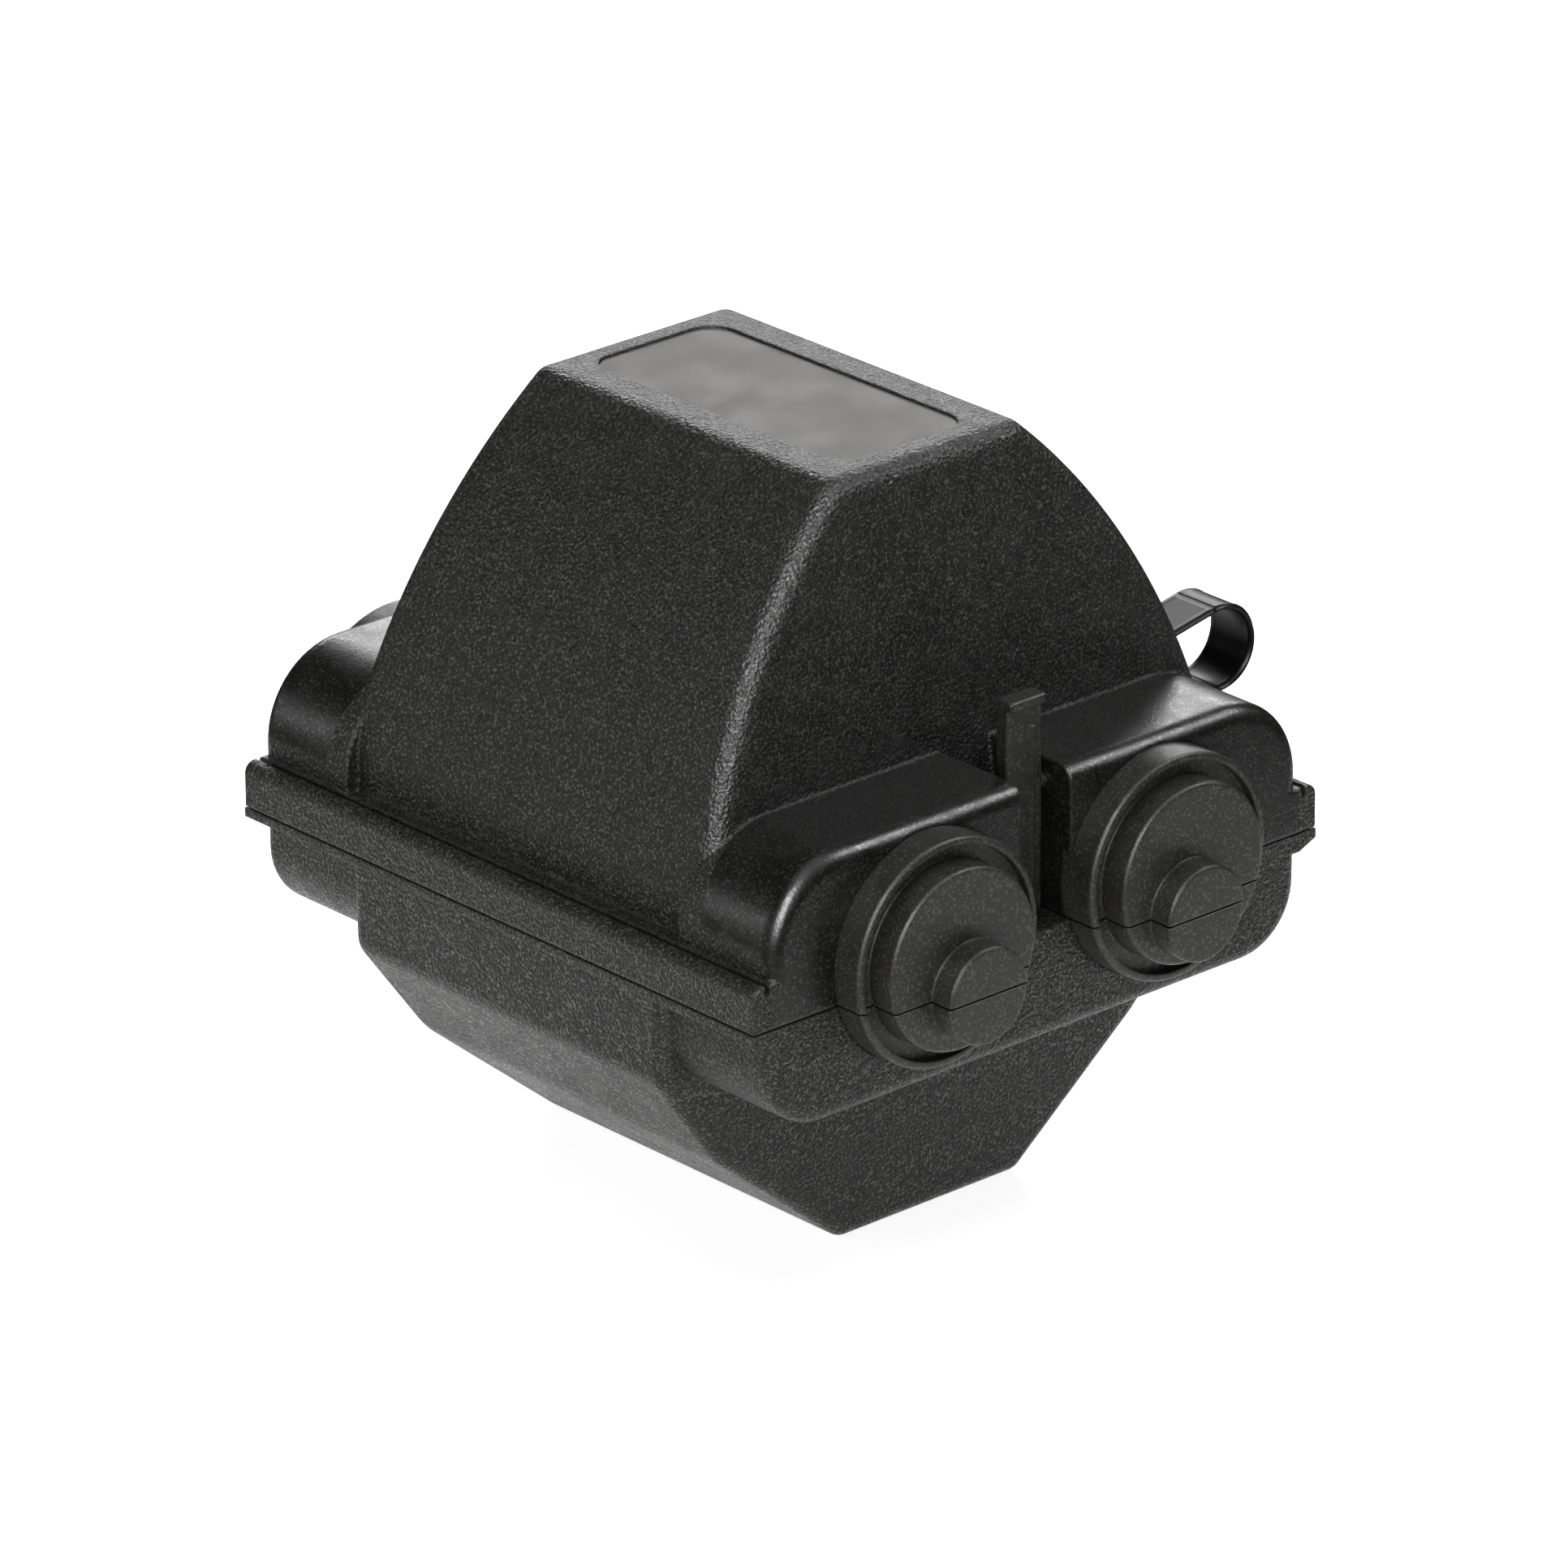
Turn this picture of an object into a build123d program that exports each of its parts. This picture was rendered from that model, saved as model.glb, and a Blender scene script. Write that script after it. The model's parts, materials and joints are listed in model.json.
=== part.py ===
from build123d import *
import math
import os

# A re-enterable cable joint box: two moulded shells that close over gel and a terminal block,
# held by a snap latch at each end and tied together by a flexible strap.
# X is across the box, Y is along the cables, Z is up. Heights are built from the seam,
# and every piece is lifted at the end, so that the box stands on Z = 0.

# Overall sizes
box_width = 94.0  # over the two side flanges
box_length = 95.4  # over the flat end faces
seam_height = 43.9  # from the resting face up to the seam
dome_height = 56.8  # from the seam up to the top
wall = 2.4
seam_gap = 0.3  # between the closed shells

# Upper shell
dome_foot_width = 85.6
dome_shoulder_width = 84.4
dome_shoulder_height = 12.0
dome_top_width = 30.4
dome_side_bulge = 4.2  # how far each curved side bows out of its chord
dome_foot_setback = 11.9  # from each end face to the dome's foot
dome_foot_length = box_length - 2 * dome_foot_setback
dome_end_rake = 8.0  # how far each end of the dome leans in up to the top
dome_top_length = dome_foot_length - 2 * dome_end_rake
dome_edge_radius = 2.8
label_end_margin = 4.4  # from the end of the dome's top to the label
label_length = dome_top_length - 2 * label_end_margin
label_width = 20.7
label_corner = 3.5
label_thickness = 0.5
label_recess = 0.8
label_clearance = 0.15

# Entry housings and flanges
housing_width = 88.4
housing_top = 20.0
housing_bottom = 15.0
housing_top_radius = 12.0
housing_bottom_radius = 9.0
housing_end_radius = 2.2
housing_root = 4.8  # how far the housings run into the dome and the belly
skirt_height = 6.0
skirt_edge_radius = 1.5
skirt_corner_radius = 0.3
skirt_groove_inset = 0.2  # from the housing's side out to the groove
skirt_groove_width = 0.8
skirt_groove_depth = 1.4
lip_thickness = 1.2
lip_chamfer = 1.2

# Lower shell
belly_width = 90.8
belly_side_depth = 13.3
belly_waist_width = 70.6
belly_waist_depth = 27.1
belly_base_width = 29.6
belly_top_setback = 18.1  # from each end face to the end of the belly at the seam
belly_top_length = box_length - 2 * belly_top_setback
belly_end_rake = 1.4  # how far each end of the belly leans in down to the base
belly_base_length = belly_top_length - 2 * belly_end_rake
belly_side_radius = 4.0
belly_waist_radius = 14.0
belly_base_radius = 2.5
belly_edge_radius = 2.0

# Cable entries: two at each end, each split along the seam
entry_spacing = 38.4
entry_height = 4.0  # ring and disc centre above the seam
ring_radius = 14.8
ring_depth = 4.2
ring_seat_depth = 1.2
ring_lip = 1.0
ring_groove_depth = 1.4
ring_edge_radius = 0.5
disc_radius = 11.8
disc_depth = 2.7
disc_edge_radius = 0.5
stub_radius = 6.3
stub_depth = 3.4
stub_edge_radius = 0.4
stub_root = 0.5  # how far the stub runs into the disc
stub_spacing = 36.4
stub_height = 0.0  # the stub is centred on the seam
neck_radius = 11.4
neck_clearance = 0.05
neck_behind_wall = 1.5
entry_skin = 1.5

# Snap latches, one in a notch at each end
notch_width = 8.3
notch_centre = 0.8
arm_width = 5.9
arm_centre = 1.1
arm_thickness = 2.0
arm_inset = 4.2  # arm face behind the end face
arm_top = 29.2
arm_rib_width = 0.6
arm_rib_height = 0.3
arm_rib_offset = 1.2
arm_rib_foot = 2.0  # above the arm's foot
arm_rib_head = 4.0  # below the arm's top
arm_edge_radius = 0.3
thumb_lip_reach = 0.8
thumb_lip_height = 1.3
pin_radius = 0.9
pin_height = 17.0
pin_reach = 1.3  # how far each pin enters its notch wall
pin_clearance = 0.05
bridge_depth = 11.5
bridge_foot = 8.0  # below the seam
bridge_setback = 0.5  # outer face behind the end face
tongue_thickness = 1.4
tongue_bottom = -5.0
tongue_root = 2.0  # how far the tongue runs up the arm
tongue_setback = 0.3  # tongue face behind the arm's face
hook_reach = 1.0
hook_top = -3.0
slot_depth = 5.2
slot_clearance = 0.3

# Strap
strap_width = 8.0
strap_thickness = 0.7
strap_loop_radius = 5.6
strap_reach = 32.2  # loop end beyond the flange
strap_loop_height = 3.4
strap_upper_height = 4.2
strap_lower_height = -0.7
strap_clearance = 0.05

# Side seals
seal_width = 1.7
seal_depth = 1.2
seal_inset = 2.8  # seal centre inside the flange face
seal_end_margin = 3.7
seal_clearance = 0.05
seal_proud = 0.1  # above the lower shell's rim

# Gel
gel_clearance = 0.1
lower_gel_level = -2.5
upper_gel_level = 1.2
block_pocket_clearance = 2.0

# Terminal block
pole_count = 5
pole_pitch = 10.0
block_length = 20.0  # along the cables
block_end_margin = 1.0
block_bottom = -9.0
block_top = 7.0
block_corner = 1.5
pole_gap_width = 1.6
pole_gap_depth = 4.0
tube_radius = 3.0
tube_bore_radius = 2.0
tube_length = 18.0
tube_height = -1.0
tube_clearance = 0.05
clamp_screw_radius = 1.5
clamp_screw_spacing = 9.0
clamp_screw_top = 5.2
clamp_screw_lift = 0.3  # tip above the tube's middle
clamp_screw_well_radius = 2.2
block_post_radius = 4.0
block_post_poles = 3  # pole pitches between the two posts, so that each screw passes between two tubes
block_post_spacing = block_post_poles * pole_pitch
block_screw_radius = 1.25
block_screw_head_radius = 2.6
block_screw_head = 2.0
block_screw_depth = 8.0
block_screw_sink = 1.0  # head below the block's top

# Cable clamps
clamp_bar_length = 68.0
clamp_bar_width = 6.0
clamp_bar_thickness = 3.0
clamp_bar_top = -0.5
clamp_bar_setback = 7.6  # from the end of the belly at the seam to the bar's middle
clamp_bar_place = belly_top_length / 2 - clamp_bar_setback
clamp_bar_corner = 2.5
clamp_post_radius = 3.2
clamp_post_spacing = 60.0
saddle_radius = 12.0
saddle_depth = 1.5
bar_screw_radius = 1.25
bar_screw_head_radius = 2.6
bar_screw_head = 1.5
bar_screw_depth = 9.0
screw_hole_clearance = 0.05
screw_pass_clearance = 0.2  # round a screw that passes through
screw_end_gap = 1.0  # between a screw's tip and its hole's end
slot_width = 0.8
slot_cut = 0.7
slot_overrun = 0.1

half_width = box_width / 2
half_length = box_length / 2
rim = seam_gap / 2
core = 20.0  # how far the shell outlines run past the seam before they are trimmed
reach = 200.0  # larger than the box, for trimming
overrun = 1.0  # how far a cut passes the face that it opens

lift = Pos(0, 0, seam_height)


def block(x, y, z):
    """A box between two limits on each axis."""
    size = [high - low for low, high in (x, y, z)]
    middle = [(high + low) / 2 for low, high in (x, y, z)]
    return Pos(*middle) * Box(*size)


def above(z):
    return block((-reach, reach), (-reach, reach), (z, reach))


def below(z):
    return block((-reach, reach), (-reach, reach), (-reach, z))


def rod_along_y(x, z, radius, y0, y1):
    return Pos(x, (y0 + y1) / 2, z) * Rot(90, 0, 0) * Cylinder(radius, abs(y1 - y0))


def rod_along_x(y, z, radius, x0, x1):
    return Pos((x0 + x1) / 2, y, z) * Rot(0, 90, 0) * Cylinder(radius, abs(x1 - x0))


def rod_along_z(x, y, radius, z0, z1):
    return Pos(x, y, (z0 + z1) / 2) * Cylinder(radius, abs(z1 - z0))


def polygon(points):
    return make_face(Polyline(*points, close=True))


def bulged(start, end, bulge):
    """An arc from start to end that bows out to the right of its direction."""
    run = (end[0] - start[0], end[1] - start[1])
    span = math.hypot(*run)
    middle = ((start[0] + end[0]) / 2, (start[1] + end[1]) / 2)
    peak = (middle[0] + bulge * run[1] / span, middle[1] - bulge * run[0] / span)
    return ThreePointArc(start, peak, end)


def inset(face, amount):
    return offset(face, amount=-amount, kind=Kind.INTERSECTION) if amount else face


def along_y(face, half):
    return extrude(Plane.XZ * face, amount=half, both=True)


def along_x(face, half):
    return extrude(Plane.YZ * face, amount=half, both=True)


# ---------------------------------------------------------------- shell outlines
def dome_section():
    """The arch seen along the cables."""
    foot = (dome_foot_width / 2, -core)
    shoulder = (dome_shoulder_width / 2, dome_shoulder_height)
    top = (dome_top_width / 2, dome_height)
    right = bulged(shoulder, top, dome_side_bulge)
    left = mirror(right, about=Plane.YZ)
    edges = [
        Line(foot, shoulder),
        right,
        Line(top, (-top[0], top[1])),
        left,
        Line((-shoulder[0], shoulder[1]), (-foot[0], foot[1])),
        Line((-foot[0], foot[1]), foot),
    ]
    return make_face([edge for part in edges for edge in part.edges()])


def dome_side():
    """The sloping ends seen across the box."""
    slope = (dome_foot_length - dome_top_length) / 2 / dome_height
    foot = dome_foot_length / 2 + slope * core
    top = dome_top_length / 2
    return polygon([(foot, -core), (top, dome_height), (-top, dome_height), (-foot, -core)])


def dome(depth_in):
    """The dome's solid, drawn in by depth_in on every side."""
    solid = along_y(inset(dome_section(), depth_in), box_length)
    return solid & along_x(inset(dome_side(), depth_in), box_width)


def belly_section():
    side = belly_width / 2
    waist = belly_waist_width / 2
    base = belly_base_width / 2
    right = [(side, core), (side, -belly_side_depth), (waist, -belly_waist_depth)]
    right.append((base, -seam_height))
    left = [(-x, z) for x, z in reversed(right)]
    face = polygon(right + left)

    def corners(width, depth):
        return [v for v in face.vertices() if abs(v.Y + depth) < 0.01 and abs(abs(v.X) - width) < 0.01]

    radii = (
        (side, belly_side_depth, belly_side_radius),
        (waist, belly_waist_depth, belly_waist_radius),
        (base, seam_height, belly_base_radius),
    )
    for width, depth, radius in radii:
        face = fillet(corners(width, depth), radius)
    return face


def belly_side():
    top = belly_top_length / 2
    base = belly_base_length / 2
    flare = (top - base) / seam_height * core
    return polygon([(top + flare, core), (base, -seam_height), (-base, -seam_height), (-top - flare, core)])


def belly(depth_in):
    solid = along_y(inset(belly_section(), depth_in), box_length)
    return solid & along_x(inset(belly_side(), depth_in), box_width)


def end_bar(face, direction, length):
    """Face, drawn in XZ, carried from the middle of the box towards one end."""
    return extrude(Plane.XZ * face, amount=-direction * length)


def round_end(bar, direction, kept_height, kept_side=reach):
    """Rounds the outer end face of a housing, apart from its edges at kept_height and at kept_side."""
    face = bar.faces().sort_by(Axis.Y)[-1 if direction > 0 else 0]
    middles = [(edge, edge.center()) for edge in face.edges()]
    near = 0.1
    rounded = [e for e, c in middles if abs(c.Z - kept_height) > near and abs(c.X - kept_side) > near]
    return fillet(rounded, housing_end_radius)


def upper_housing(side, direction, depth_in):
    """One of the four upper entry housings, from the latch notch out to the side."""
    inner = notch_centre + side * (notch_width / 2 + depth_in)
    outer = side * (housing_width / 2 - depth_in)
    top = housing_top - depth_in
    face = polygon([(inner, -core), (outer, -core), (outer, top), (inner, top)])
    corners = face.vertices().group_by(Axis.Y)[-1].sort_by(Axis.X)
    face = fillet(corners[-1 if side > 0 else 0], housing_top_radius - depth_in)
    bar = end_bar(face, direction, half_length - depth_in)
    return bar if depth_in else round_end(bar, direction, -core, inner)


def upper_housings(depth_in):
    bars = [upper_housing(side, direction, depth_in) for side in (-1, 1) for direction in (-1, 1)]
    body = bars[0] + bars[1:]
    return body - middle_of(dome_foot_length - 2 * housing_root)


def lower_housing(direction, depth_in):
    """One of the two lower entry housings, from side to side."""
    outer = housing_width / 2 - depth_in
    bottom = -(housing_bottom - depth_in)
    face = polygon([(-outer, core), (outer, core), (outer, bottom), (-outer, bottom)])
    face = fillet(face.vertices().group_by(Axis.Y)[0], housing_bottom_radius - depth_in)
    bar = end_bar(face, direction, half_length - depth_in)
    return bar if depth_in else round_end(bar, direction, core)


def lower_housings(depth_in):
    bars = lower_housing(-1, depth_in) + lower_housing(1, depth_in)
    return bars - middle_of(belly_top_length - 2 * housing_root)


def middle_of(length):
    return block((-reach, reach), (-length / 2, length / 2), (-reach, reach))


# ---------------------------------------------------------------- cable entries
def entry_places():
    """End name, side name, end direction, ring centre and stub centre of each entry."""
    for end, direction in (("front", -1), ("rear", 1)):
        for side, sign in (("left", -1), ("right", 1)):
            yield end, side, direction, sign * entry_spacing / 2, sign * stub_spacing / 2


def entry_seats():
    """The holes for the entry necks, and the shallow seats for their rings."""
    cuts = []
    for _, _, direction, centre, _ in entry_places():
        inner = direction * (half_length - 2 * wall)
        seat = direction * (half_length - ring_seat_depth)
        outer = direction * (half_length + wall)
        cuts.append(rod_along_y(centre, entry_height, neck_radius + neck_clearance, inner, outer))
        cuts.append(rod_along_y(centre, entry_height, ring_radius + neck_clearance, seat, outer))
    return cuts


def outer_rim(rod, direction):
    """The edge round a rod's outer end."""
    return rod.faces().sort_by(Axis.Y)[-1 if direction > 0 else 0].edges()


def entry(direction, centre, stub_centre):
    """One whole stepped entry, before it is split along the seam."""

    def step(x, z, radius, start, end):
        return rod_along_y(x, z, radius, direction * (half_length + start), direction * (half_length + end))

    ring_end = ring_depth
    disc_end = ring_end + disc_depth
    stub_end = disc_end + stub_depth
    back = -wall - neck_behind_wall
    groove_floor = ring_end - ring_groove_depth
    body = step(centre, entry_height, neck_radius, back, 0)
    ring = step(centre, entry_height, ring_radius, -ring_seat_depth, ring_end)
    body += fillet(outer_rim(ring, direction), ring_edge_radius)
    body -= step(centre, entry_height, ring_radius - ring_lip, groove_floor, ring_end)
    disc = step(centre, entry_height, disc_radius, groove_floor, disc_end)
    body += fillet(outer_rim(disc, direction), disc_edge_radius)
    stub = step(stub_centre, stub_height, stub_radius, disc_end - stub_root, stub_end)
    body += fillet(outer_rim(stub, direction), stub_edge_radius)
    body -= step(centre, entry_height, neck_radius - entry_skin, back, disc_end - entry_skin)
    body -= step(stub_centre, stub_height, stub_radius - entry_skin, back, stub_end - entry_skin)
    return body


def entry_fill(direction, centre):
    """The gel that stands inside an entry's neck."""
    radius = neck_radius - entry_skin - gel_clearance
    start = direction * (half_length - 3 * wall)
    end = direction * (half_length + ring_depth)
    return rod_along_y(centre, entry_height, radius, start, end)


# ---------------------------------------------------------------- upper shell
def skirt(sign):
    outer = sign * half_width
    inner = sign * (housing_width / 2 - wall)
    bar = block(sorted((outer, inner)), (-half_length, half_length), (-core, skirt_height))
    face = bar.faces().sort_by(Axis.X)[-1 if sign > 0 else 0]
    long_edge = face.edges().sort_by(Axis.Z)[-1]
    bar = fillet(long_edge, skirt_edge_radius)
    face = bar.faces().sort_by(Axis.X)[-1 if sign > 0 else 0]
    return fillet(face.edges().filter_by(Axis.Z), skirt_corner_radius)


def label_outline(grow):
    return RectangleRounded(label_width + 2 * grow, label_length + 2 * grow, label_corner + grow)


def skirt_groove(sign):
    """The narrow channel between the skirt's upstanding edge and the shell's side."""
    start = housing_width / 2 + skirt_groove_inset
    span = sorted((sign * start, sign * (start + skirt_groove_width)))
    return block(span, (-half_length, half_length), (skirt_height - skirt_groove_depth, skirt_height))


def upper_cavity(depth_in):
    return upper_housings(depth_in) + dome(depth_in)


def latch_pin(direction, grow):
    """The pin that a latch rocks on, or with grow, the hole that it turns in."""
    line = direction * (half_length - arm_inset - arm_thickness / 2)
    half = notch_width / 2 + pin_reach + grow
    return rod_along_x(line, pin_height, pin_radius + grow, notch_centre - half, notch_centre + half)


def upper_shell():
    arch = dome(0)
    arch = fillet([e for e in arch.edges() if e.center().Z > -core + 1], dome_edge_radius)
    body = upper_housings(0) + arch
    for sign in (-1, 1):
        body += skirt(sign)
        body -= skirt_groove(sign)
    body -= upper_cavity(wall)
    for seat in entry_seats():
        body -= seat
    recess = Pos(0, 0, dome_height - label_recess) * label_outline(label_clearance)
    body -= extrude(recess, amount=label_recess)
    for direction in (-1, 1):
        body -= latch_pin(direction, pin_clearance)
    return body & above(rim)


def label_plate():
    floor = dome_height - label_recess
    return extrude(Pos(0, 0, floor) * label_outline(0), amount=label_thickness)


# ---------------------------------------------------------------- lower shell
def lip(sign):
    outer = half_width
    inner = housing_width / 2 - wall
    drop = rim + lip_thickness
    points = [
        (inner, -rim),
        (outer, -rim),
        (outer, -drop),
        (housing_width / 2, -drop - lip_chamfer),
        (inner, -drop - lip_chamfer),
    ]
    return along_y(polygon([(sign * x, z) for x, z in points]), half_length)


def clamp_post_places():
    for sign in (-1, 1):
        for direction in (-1, 1):
            yield sign * clamp_post_spacing / 2, direction * clamp_bar_place


def posts(grow, bottom):
    """The posts that carry the terminal block and the clamp bars, made thicker by grow."""
    made = [rod_along_z(x, 0, block_post_radius + grow, bottom, block_bottom) for x in block_screw_places()]
    top = clamp_bar_top - clamp_bar_thickness
    made += [rod_along_z(x, y, clamp_post_radius + grow, bottom, top) for x, y in clamp_post_places()]
    return made


def screw_holes():
    """The blind holes in the posts."""
    radius = block_screw_radius + screw_hole_clearance
    bottom = block_bottom - block_screw_depth - screw_end_gap
    made = [rod_along_z(x, 0, radius, bottom, block_bottom) for x in block_screw_places()]
    radius = bar_screw_radius + screw_hole_clearance
    top = clamp_bar_top - clamp_bar_thickness
    made += [rod_along_z(x, y, radius, top - bar_screw_depth, top) for x, y in clamp_post_places()]
    return made


def lower_cavity(depth_in):
    return lower_housings(depth_in) + belly(depth_in)


def bridge(direction):
    """The block between the entries that closes the notch's foot and holds the catch."""
    outer = direction * (half_length - bridge_setback)
    inner = direction * (half_length - bridge_depth)
    half = notch_width / 2 + wall
    span_x = (notch_centre - half, notch_centre + half)
    return block(span_x, sorted((outer, inner)), (-rim - bridge_foot, -rim))


def tongue_span(direction):
    """The tongue's outer and inner limits along Y."""
    outer = half_length - arm_inset - tongue_setback
    return direction * outer, direction * (outer - tongue_thickness)


def catch_slot(direction):
    """The well that the tongue goes down, and the pocket under the catch for its hook."""
    outer, _ = tongue_span(direction)
    mouth = outer + direction * slot_clearance
    half = arm_width / 2 + slot_clearance
    span_x = (arm_centre - half, arm_centre + half)
    bottom = tongue_bottom - slot_clearance
    well = block(span_x, sorted((mouth, mouth - direction * slot_depth)), (bottom, reach))
    pocket_end = outer + direction * (hook_reach + slot_clearance)
    pocket = block(span_x, sorted((mouth, pocket_end)), (bottom, hook_top + slot_clearance))
    return well + pocket


def lower_shell():
    bowl = belly(0)
    bowl = fillet([e for e in bowl.edges() if e.center().Z < core - 1], belly_edge_radius)
    outer = lower_housings(0) + bowl
    body = outer + lip(-1) + lip(1) - lower_cavity(wall)
    for post in posts(0, -seam_height):
        body += post & outer
    for hole in screw_holes():
        body -= hole
    body = body & below(-rim)
    for direction in (-1, 1):
        body += bridge(direction)
        body -= catch_slot(direction)
    for seat in entry_seats():
        body -= seat
    for sign in (-1, 1):
        body -= side_seal_bar(sign, seal_clearance, 0)
    return body


# ---------------------------------------------------------------- small pieces
def side_seal_bar(sign, grow, proud):
    centre = sign * (half_width - seal_inset)
    half = seal_width / 2 + grow
    end = half_length - seal_end_margin + grow
    return block((centre - half, centre + half), (-end, end), (-rim - seal_depth - grow, -rim + proud))


def latch(direction):
    """A rocking latch arm with its pins, thumb lip and hooked tongue."""
    half = arm_width / 2
    span_x = (arm_centre - half, arm_centre + half)
    face = half_length - arm_inset
    back = face - arm_thickness
    bottom_edge = slot_clearance - rim

    def plate(x, near, far, z):
        return block(x, sorted((direction * near, direction * far)), z)

    arm = plate(span_x, face, back, (bottom_edge, arm_top))
    arm += plate(span_x, face + thumb_lip_reach, face, (arm_top - thumb_lip_height, arm_top))
    rounded = [edge for edge in arm.edges() if abs(edge.center().Z - bottom_edge) > overrun]
    arm = fillet(rounded, arm_edge_radius)
    rib_x = arm_centre + arm_rib_offset
    rib = (rib_x - arm_rib_width / 2, rib_x + arm_rib_width / 2)
    rib_span = (bottom_edge + arm_rib_foot, arm_top - arm_rib_head)
    body = arm + plate(rib, face + arm_rib_height, face, rib_span)
    tongue_out, tongue_in = (abs(y) for y in tongue_span(direction))
    body += plate(span_x, tongue_out, tongue_in, (tongue_bottom, bottom_edge + tongue_root))
    body += plate(span_x, tongue_out + hook_reach, tongue_out, (tongue_bottom, hook_top))
    return body + latch_pin(direction, 0)


def strap():
    """A band in a drop-shaped loop, from the upper flange round to the lower one."""
    centre = (half_width + strap_reach - strap_loop_radius - strap_thickness / 2, strap_loop_height)
    start = half_width + strap_clearance

    def drop(grow):
        half = strap_thickness / 2 * grow
        loop = Pos(*centre) * Circle(strap_loop_radius + half)
        ends = [(start, strap_upper_height + half), (start, strap_lower_height - half)]
        return make_hull(loop.edges() + [Line(*ends).edge()])

    return along_y(drop(1) - drop(-1), strap_width / 2)


# ---------------------------------------------------------------- terminal block
def pole_places():
    return [(i - (pole_count - 1) / 2) * pole_pitch for i in range(pole_count)]


def block_half_width():
    return pole_count * pole_pitch / 2 + block_end_margin


def block_screw_places():
    return [sign * block_post_spacing / 2 for sign in (-1, 1)]


def terminal_block():
    half = block_half_width()
    body = block((-half, half), (-block_length / 2, block_length / 2), (block_bottom, block_top))
    body = fillet(body.edges().filter_by(Axis.Y), block_corner)
    # Shallow gaps between the poles, where single poles are cut off
    for first, second in zip(pole_places(), pole_places()[1:]):
        middle = (first + second) / 2
        gap = (middle - pole_gap_width / 2, middle + pole_gap_width / 2)
        for direction in (-1, 1):
            edge = direction * block_length / 2
            body -= block(gap, sorted((edge, edge - direction * pole_gap_depth)), (block_bottom, block_top))
    for x in pole_places():
        body -= rod_along_y(x, tube_height, tube_radius + tube_clearance, -block_length, block_length)
        for direction in (-1, 1):
            y = direction * clamp_screw_spacing / 2
            body -= rod_along_z(x, y, clamp_screw_well_radius, tube_height, block_top)
    head_floor = block_top - block_screw_head - block_screw_sink
    for x in block_screw_places():
        body -= rod_along_z(x, 0, block_screw_radius + screw_pass_clearance, block_bottom, block_top)
        body -= rod_along_z(x, 0, block_screw_head_radius + screw_pass_clearance, head_floor, block_top)
    return body


def terminal_tubes():
    """The brass tubes that join the conductors, one to each pole."""
    made = []
    for x in pole_places():
        tube = rod_along_y(x, tube_height, tube_radius, -tube_length / 2, tube_length / 2)
        tube -= rod_along_y(x, tube_height, tube_bore_radius, -tube_length, tube_length)
        for direction in (-1, 1):
            y = direction * clamp_screw_spacing / 2
            tube -= rod_along_z(x, y, clamp_screw_radius + screw_hole_clearance, tube_height, block_top)
        made.append(tube)
    return Compound(made)


def slotted(screw, x, y, radius, top):
    """A screw with a slot cut across the top of its head."""
    half = radius + slot_overrun
    span_y = (y - slot_width / 2, y + slot_width / 2)
    return screw - block((x - half, x + half), span_y, (top - slot_cut, top))


def terminal_screws():
    made = []
    for x in pole_places():
        for direction in (-1, 1):
            y = direction * clamp_screw_spacing / 2
            screw = rod_along_z(x, y, clamp_screw_radius, tube_height + clamp_screw_lift, clamp_screw_top)
            made.append(slotted(screw, x, y, clamp_screw_radius, clamp_screw_top))
    return Compound(made)


def headed_screw(x, y, radius, head_radius, head, seat, depth):
    """A pan-head screw whose head sits on seat."""
    screw = rod_along_z(x, y, radius, seat - depth, seat)
    screw += rod_along_z(x, y, head_radius, seat, seat + head)
    return slotted(screw, x, y, head_radius, seat + head)


def block_screws():
    seat = block_top - block_screw_head - block_screw_sink
    depth = seat - block_bottom + block_screw_depth
    sizes = (block_screw_radius, block_screw_head_radius, block_screw_head, seat, depth)
    return Compound([headed_screw(x, 0, *sizes) for x in block_screw_places()])


# ---------------------------------------------------------------- cable clamps
def clamp_bar(direction):
    half = clamp_bar_length / 2
    middle = direction * clamp_bar_place
    bottom = clamp_bar_top - clamp_bar_thickness
    span_y = (middle - clamp_bar_width / 2, middle + clamp_bar_width / 2)
    bar = block((-half, half), span_y, (bottom, clamp_bar_top))
    bar = fillet(bar.edges().filter_by(Axis.Z), clamp_bar_corner)
    hole_radius = bar_screw_radius + screw_pass_clearance
    saddle_centre = bottom + saddle_depth - saddle_radius
    for sign in (-1, 1):
        saddle = (sign * stub_spacing / 2, saddle_centre, saddle_radius)
        bar -= rod_along_y(*saddle, span_y[0] - overrun, span_y[1] + overrun)
        bar -= rod_along_z(sign * clamp_post_spacing / 2, middle, hole_radius, bottom, clamp_bar_top)
    return bar


def clamp_screws():
    depth = clamp_bar_thickness + bar_screw_depth - screw_end_gap
    sizes = (bar_screw_radius, bar_screw_head_radius, bar_screw_head, clamp_bar_top, depth)
    return Compound([headed_screw(x, y, *sizes) for x, y in clamp_post_places()])


# ---------------------------------------------------------------- gel
def entry_gel():
    return [entry_fill(direction, centre) for _, _, direction, centre, _ in entry_places()]


def neck_bodies():
    """The space that the entry necks take up behind the end walls."""
    made = []
    for _, _, direction, centre, _ in entry_places():
        start = direction * (half_length - wall - neck_behind_wall - gel_clearance)
        end = direction * (half_length + ring_depth + disc_depth + stub_depth)
        made.append(rod_along_y(centre, entry_height, neck_radius + gel_clearance, start, end))
    return made


def with_entry_gel(body):
    for space in neck_bodies():
        body -= space
    for fill in entry_gel():
        body += fill
    return body


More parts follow.
